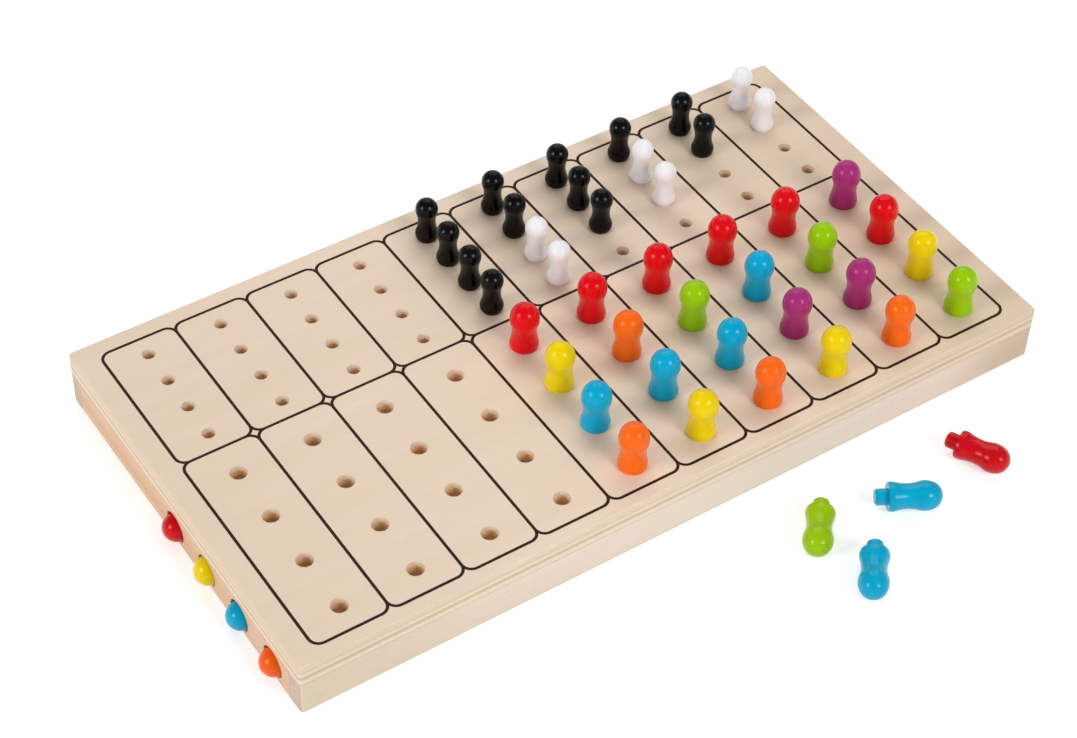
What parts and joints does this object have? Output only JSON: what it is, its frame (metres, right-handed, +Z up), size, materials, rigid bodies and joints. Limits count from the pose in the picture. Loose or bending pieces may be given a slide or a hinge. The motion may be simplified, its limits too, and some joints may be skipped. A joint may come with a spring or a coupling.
{
  "type": "peg code-breaking board game",
  "caption": "Wooden code-breaking game: a drilled plywood board on a shallow box with a sliding lid, turned code and key pegs, and end bores that hold the secret code.",
  "frame": {"origin": "below the middle of the drilled board, on the plane that the box stands on", "axes": "+X runs along the columns of holes away from the secret code bores, +Y from the code holes to the key holes, +Z up"},
  "size_m": [0.3248, 0.2395, 0.0442],
  "materials": {
    "board_plywood": "sanded birch plywood under clear matt lacquer",
    "wall_wood": "sanded light hardwood under clear matt lacquer",
    "lid_plywood": "sanded birch plywood, uncoated",
    "red_lacquered_wood": "turned wood under gloss red lacquer",
    "yellow_lacquered_wood": "turned wood under gloss yellow lacquer",
    "blue_lacquered_wood": "turned wood under gloss blue lacquer",
    "orange_lacquered_wood": "turned wood under gloss orange lacquer",
    "green_lacquered_wood": "turned wood under gloss green lacquer",
    "purple_lacquered_wood": "turned wood under gloss purple lacquer",
    "black_lacquered_wood": "turned wood under gloss black lacquer",
    "white_lacquered_wood": "turned wood under gloss white lacquer"
  },
  "bodies": {
    "box": {"top_board": "board_plywood", "front_wall": "wall_wood", "back_wall": "wall_wood", "code_block": "wall_wood", "right_wall": "wall_wood"},
    "lid": {"sliding_lid": "lid_plywood"},
    "code_peg_c10_h1_purple": {"code_peg_c10_h1_purple": "purple_lacquered_wood"},
    "code_peg_c10_h2_red": {"code_peg_c10_h2_red": "red_lacquered_wood"},
    "code_peg_c10_h3_yellow": {"code_peg_c10_h3_yellow": "yellow_lacquered_wood"},
    "code_peg_c10_h4_green": {"code_peg_c10_h4_green": "green_lacquered_wood"},
    "code_peg_c5_h1_red": {"code_peg_c5_h1_red": "red_lacquered_wood"},
    "code_peg_c5_h2_yellow": {"code_peg_c5_h2_yellow": "yellow_lacquered_wood"},
    "code_peg_c5_h3_blue": {"code_peg_c5_h3_blue": "blue_lacquered_wood"},
    "code_peg_c5_h4_orange": {"code_peg_c5_h4_orange": "orange_lacquered_wood"},
    "code_peg_c6_h1_red": {"code_peg_c6_h1_red": "red_lacquered_wood"},
    "code_peg_c6_h2_orange": {"code_peg_c6_h2_orange": "orange_lacquered_wood"},
    "code_peg_c6_h3_blue": {"code_peg_c6_h3_blue": "blue_lacquered_wood"},
    "code_peg_c6_h4_yellow": {"code_peg_c6_h4_yellow": "yellow_lacquered_wood"},
    "code_peg_c7_h1_red": {"code_peg_c7_h1_red": "red_lacquered_wood"},
    "code_peg_c7_h2_green": {"code_peg_c7_h2_green": "green_lacquered_wood"},
    "code_peg_c7_h3_blue": {"code_peg_c7_h3_blue": "blue_lacquered_wood"},
    "code_peg_c7_h4_orange": {"code_peg_c7_h4_orange": "orange_lacquered_wood"},
    "code_peg_c8_h1_red": {"code_peg_c8_h1_red": "red_lacquered_wood"},
    "code_peg_c8_h2_blue": {"code_peg_c8_h2_blue": "blue_lacquered_wood"},
    "code_peg_c8_h3_purple": {"code_peg_c8_h3_purple": "purple_lacquered_wood"},
    "code_peg_c8_h4_yellow": {"code_peg_c8_h4_yellow": "yellow_lacquered_wood"},
    "code_peg_c9_h1_red": {"code_peg_c9_h1_red": "red_lacquered_wood"},
    "code_peg_c9_h2_green": {"code_peg_c9_h2_green": "green_lacquered_wood"},
    "code_peg_c9_h3_purple": {"code_peg_c9_h3_purple": "purple_lacquered_wood"},
    "code_peg_c9_h4_orange": {"code_peg_c9_h4_orange": "orange_lacquered_wood"},
    "key_peg_c10_h1_white": {"key_peg_c10_h1_white": "white_lacquered_wood"},
    "key_peg_c10_h2_white": {"key_peg_c10_h2_white": "white_lacquered_wood"},
    "key_peg_c5_h1_black": {"key_peg_c5_h1_black": "black_lacquered_wood"},
    "key_peg_c5_h2_black": {"key_peg_c5_h2_black": "black_lacquered_wood"},
    "key_peg_c5_h3_black": {"key_peg_c5_h3_black": "black_lacquered_wood"},
    "key_peg_c5_h4_black": {"key_peg_c5_h4_black": "black_lacquered_wood"},
    "key_peg_c6_h1_black": {"key_peg_c6_h1_black": "black_lacquered_wood"},
    "key_peg_c6_h2_black": {"key_peg_c6_h2_black": "black_lacquered_wood"},
    "key_peg_c6_h3_white": {"key_peg_c6_h3_white": "white_lacquered_wood"},
    "key_peg_c6_h4_white": {"key_peg_c6_h4_white": "white_lacquered_wood"},
    "key_peg_c7_h1_black": {"key_peg_c7_h1_black": "black_lacquered_wood"},
    "key_peg_c7_h2_black": {"key_peg_c7_h2_black": "black_lacquered_wood"},
    "key_peg_c7_h3_black": {"key_peg_c7_h3_black": "black_lacquered_wood"},
    "key_peg_c8_h1_black": {"key_peg_c8_h1_black": "black_lacquered_wood"},
    "key_peg_c8_h2_white": {"key_peg_c8_h2_white": "white_lacquered_wood"},
    "key_peg_c8_h3_white": {"key_peg_c8_h3_white": "white_lacquered_wood"},
    "key_peg_c9_h1_black": {"key_peg_c9_h1_black": "black_lacquered_wood"},
    "key_peg_c9_h2_black": {"key_peg_c9_h2_black": "black_lacquered_wood"},
    "secret_peg_1_red": {"secret_peg_1_red": "red_lacquered_wood"},
    "secret_peg_2_yellow": {"secret_peg_2_yellow": "yellow_lacquered_wood"},
    "secret_peg_3_blue": {"secret_peg_3_blue": "blue_lacquered_wood"},
    "secret_peg_4_orange": {"secret_peg_4_orange": "orange_lacquered_wood"},
    "spare_peg_1_green": {"spare_peg_1_green": "green_lacquered_wood"},
    "spare_peg_2_blue": {"spare_peg_2_blue": "blue_lacquered_wood"},
    "spare_peg_3_blue": {"spare_peg_3_blue": "blue_lacquered_wood"},
    "spare_peg_4_red": {"spare_peg_4_red": "red_lacquered_wood"}
  },
  "joints": [
    {"name": "lid_slide", "type": "slide", "parent": "box", "child": "lid", "axis": [1, 0, 0], "range_m": [0, 0.28]},
    {"name": "lift_code_peg_c10_h1_purple", "type": "slide", "parent": "box", "child": "code_peg_c10_h1_purple", "axis": [0, 0, 1], "range_m": [0, 0.03]},
    {"name": "lift_code_peg_c10_h2_red", "type": "slide", "parent": "box", "child": "code_peg_c10_h2_red", "axis": [0, 0, 1], "range_m": [0, 0.03]},
    {"name": "lift_code_peg_c10_h3_yellow", "type": "slide", "parent": "box", "child": "code_peg_c10_h3_yellow", "axis": [0, 0, 1], "range_m": [0, 0.03]},
    {"name": "lift_code_peg_c10_h4_green", "type": "slide", "parent": "box", "child": "code_peg_c10_h4_green", "axis": [0, 0, 1], "range_m": [0, 0.03]},
    {"name": "lift_code_peg_c5_h1_red", "type": "slide", "parent": "box", "child": "code_peg_c5_h1_red", "axis": [0, 0, 1], "range_m": [0, 0.03]},
    {"name": "lift_code_peg_c5_h2_yellow", "type": "slide", "parent": "box", "child": "code_peg_c5_h2_yellow", "axis": [0, 0, 1], "range_m": [0, 0.03]},
    {"name": "lift_code_peg_c5_h3_blue", "type": "slide", "parent": "box", "child": "code_peg_c5_h3_blue", "axis": [0, 0, 1], "range_m": [0, 0.03]},
    {"name": "lift_code_peg_c5_h4_orange", "type": "slide", "parent": "box", "child": "code_peg_c5_h4_orange", "axis": [0, 0, 1], "range_m": [0, 0.03]},
    {"name": "lift_code_peg_c6_h1_red", "type": "slide", "parent": "box", "child": "code_peg_c6_h1_red", "axis": [0, 0, 1], "range_m": [0, 0.03]},
    {"name": "lift_code_peg_c6_h2_orange", "type": "slide", "parent": "box", "child": "code_peg_c6_h2_orange", "axis": [0, 0, 1], "range_m": [0, 0.03]},
    {"name": "lift_code_peg_c6_h3_blue", "type": "slide", "parent": "box", "child": "code_peg_c6_h3_blue", "axis": [0, 0, 1], "range_m": [0, 0.03]},
    {"name": "lift_code_peg_c6_h4_yellow", "type": "slide", "parent": "box", "child": "code_peg_c6_h4_yellow", "axis": [0, 0, 1], "range_m": [0, 0.03]},
    {"name": "lift_code_peg_c7_h1_red", "type": "slide", "parent": "box", "child": "code_peg_c7_h1_red", "axis": [0, 0, 1], "range_m": [0, 0.03]},
    {"name": "lift_code_peg_c7_h2_green", "type": "slide", "parent": "box", "child": "code_peg_c7_h2_green", "axis": [0, 0, 1], "range_m": [0, 0.03]},
    {"name": "lift_code_peg_c7_h3_blue", "type": "slide", "parent": "box", "child": "code_peg_c7_h3_blue", "axis": [0, 0, 1], "range_m": [0, 0.03]},
    {"name": "lift_code_peg_c7_h4_orange", "type": "slide", "parent": "box", "child": "code_peg_c7_h4_orange", "axis": [0, 0, 1], "range_m": [0, 0.03]},
    {"name": "lift_code_peg_c8_h1_red", "type": "slide", "parent": "box", "child": "code_peg_c8_h1_red", "axis": [0, 0, 1], "range_m": [0, 0.03]},
    {"name": "lift_code_peg_c8_h2_blue", "type": "slide", "parent": "box", "child": "code_peg_c8_h2_blue", "axis": [0, 0, 1], "range_m": [0, 0.03]},
    {"name": "lift_code_peg_c8_h3_purple", "type": "slide", "parent": "box", "child": "code_peg_c8_h3_purple", "axis": [0, 0, 1], "range_m": [0, 0.03]},
    {"name": "lift_code_peg_c8_h4_yellow", "type": "slide", "parent": "box", "child": "code_peg_c8_h4_yellow", "axis": [0, 0, 1], "range_m": [0, 0.03]},
    {"name": "lift_code_peg_c9_h1_red", "type": "slide", "parent": "box", "child": "code_peg_c9_h1_red", "axis": [0, 0, 1], "range_m": [0, 0.03]},
    {"name": "lift_code_peg_c9_h2_green", "type": "slide", "parent": "box", "child": "code_peg_c9_h2_green", "axis": [0, 0, 1], "range_m": [0, 0.03]},
    {"name": "lift_code_peg_c9_h3_purple", "type": "slide", "parent": "box", "child": "code_peg_c9_h3_purple", "axis": [0, 0, 1], "range_m": [0, 0.03]},
    {"name": "lift_code_peg_c9_h4_orange", "type": "slide", "parent": "box", "child": "code_peg_c9_h4_orange", "axis": [0, 0, 1], "range_m": [0, 0.03]},
    {"name": "lift_key_peg_c10_h1_white", "type": "slide", "parent": "box", "child": "key_peg_c10_h1_white", "axis": [0, 0, 1], "range_m": [0, 0.03]},
    {"name": "lift_key_peg_c10_h2_white", "type": "slide", "parent": "box", "child": "key_peg_c10_h2_white", "axis": [0, 0, 1], "range_m": [0, 0.03]},
    {"name": "lift_key_peg_c5_h1_black", "type": "slide", "parent": "box", "child": "key_peg_c5_h1_black", "axis": [0, 0, 1], "range_m": [0, 0.03]},
    {"name": "lift_key_peg_c5_h2_black", "type": "slide", "parent": "box", "child": "key_peg_c5_h2_black", "axis": [0, 0, 1], "range_m": [0, 0.03]},
    {"name": "lift_key_peg_c5_h3_black", "type": "slide", "parent": "box", "child": "key_peg_c5_h3_black", "axis": [0, 0, 1], "range_m": [0, 0.03]},
    {"name": "lift_key_peg_c5_h4_black", "type": "slide", "parent": "box", "child": "key_peg_c5_h4_black", "axis": [0, 0, 1], "range_m": [0, 0.03]},
    {"name": "lift_key_peg_c6_h1_black", "type": "slide", "parent": "box", "child": "key_peg_c6_h1_black", "axis": [0, 0, 1], "range_m": [0, 0.03]},
    {"name": "lift_key_peg_c6_h2_black", "type": "slide", "parent": "box", "child": "key_peg_c6_h2_black", "axis": [0, 0, 1], "range_m": [0, 0.03]},
    {"name": "lift_key_peg_c6_h3_white", "type": "slide", "parent": "box", "child": "key_peg_c6_h3_white", "axis": [0, 0, 1], "range_m": [0, 0.03]},
    {"name": "lift_key_peg_c6_h4_white", "type": "slide", "parent": "box", "child": "key_peg_c6_h4_white", "axis": [0, 0, 1], "range_m": [0, 0.03]},
    {"name": "lift_key_peg_c7_h1_black", "type": "slide", "parent": "box", "child": "key_peg_c7_h1_black", "axis": [0, 0, 1], "range_m": [0, 0.03]},
    {"name": "lift_key_peg_c7_h2_black", "type": "slide", "parent": "box", "child": "key_peg_c7_h2_black", "axis": [0, 0, 1], "range_m": [0, 0.03]},
    {"name": "lift_key_peg_c7_h3_black", "type": "slide", "parent": "box", "child": "key_peg_c7_h3_black", "axis": [0, 0, 1], "range_m": [0, 0.03]},
    {"name": "lift_key_peg_c8_h1_black", "type": "slide", "parent": "box", "child": "key_peg_c8_h1_black", "axis": [0, 0, 1], "range_m": [0, 0.03]},
    {"name": "lift_key_peg_c8_h2_white", "type": "slide", "parent": "box", "child": "key_peg_c8_h2_white", "axis": [0, 0, 1], "range_m": [0, 0.03]},
    {"name": "lift_key_peg_c8_h3_white", "type": "slide", "parent": "box", "child": "key_peg_c8_h3_white", "axis": [0, 0, 1], "range_m": [0, 0.03]},
    {"name": "lift_key_peg_c9_h1_black", "type": "slide", "parent": "box", "child": "key_peg_c9_h1_black", "axis": [0, 0, 1], "range_m": [0, 0.03]},
    {"name": "lift_key_peg_c9_h2_black", "type": "slide", "parent": "box", "child": "key_peg_c9_h2_black", "axis": [0, 0, 1], "range_m": [0, 0.03]},
    {"name": "draw_secret_peg_1_red", "type": "slide", "parent": "box", "child": "secret_peg_1_red", "axis": [-1, 0, 0], "range_m": [0, 0.03]},
    {"name": "draw_secret_peg_2_yellow", "type": "slide", "parent": "box", "child": "secret_peg_2_yellow", "axis": [-1, 0, 0], "range_m": [0, 0.03]},
    {"name": "draw_secret_peg_3_blue", "type": "slide", "parent": "box", "child": "secret_peg_3_blue", "axis": [-1, 0, 0], "range_m": [0, 0.03]},
    {"name": "draw_secret_peg_4_orange", "type": "slide", "parent": "box", "child": "secret_peg_4_orange", "axis": [-1, 0, 0], "range_m": [0, 0.03]},
    {"name": "lift_spare_peg_1_green", "type": "slide", "parent": "box", "child": "spare_peg_1_green", "axis": [0, 0, 1], "range_m": [0, 0.03]},
    {"name": "lift_spare_peg_2_blue", "type": "slide", "parent": "box", "child": "spare_peg_2_blue", "axis": [0, 0, 1], "range_m": [0, 0.03]},
    {"name": "lift_spare_peg_3_blue", "type": "slide", "parent": "box", "child": "spare_peg_3_blue", "axis": [0, 0, 1], "range_m": [0, 0.03]},
    {"name": "lift_spare_peg_4_red", "type": "slide", "parent": "box", "child": "spare_peg_4_red", "axis": [0, 0, 1], "range_m": [0, 0.03]}
  ]
}
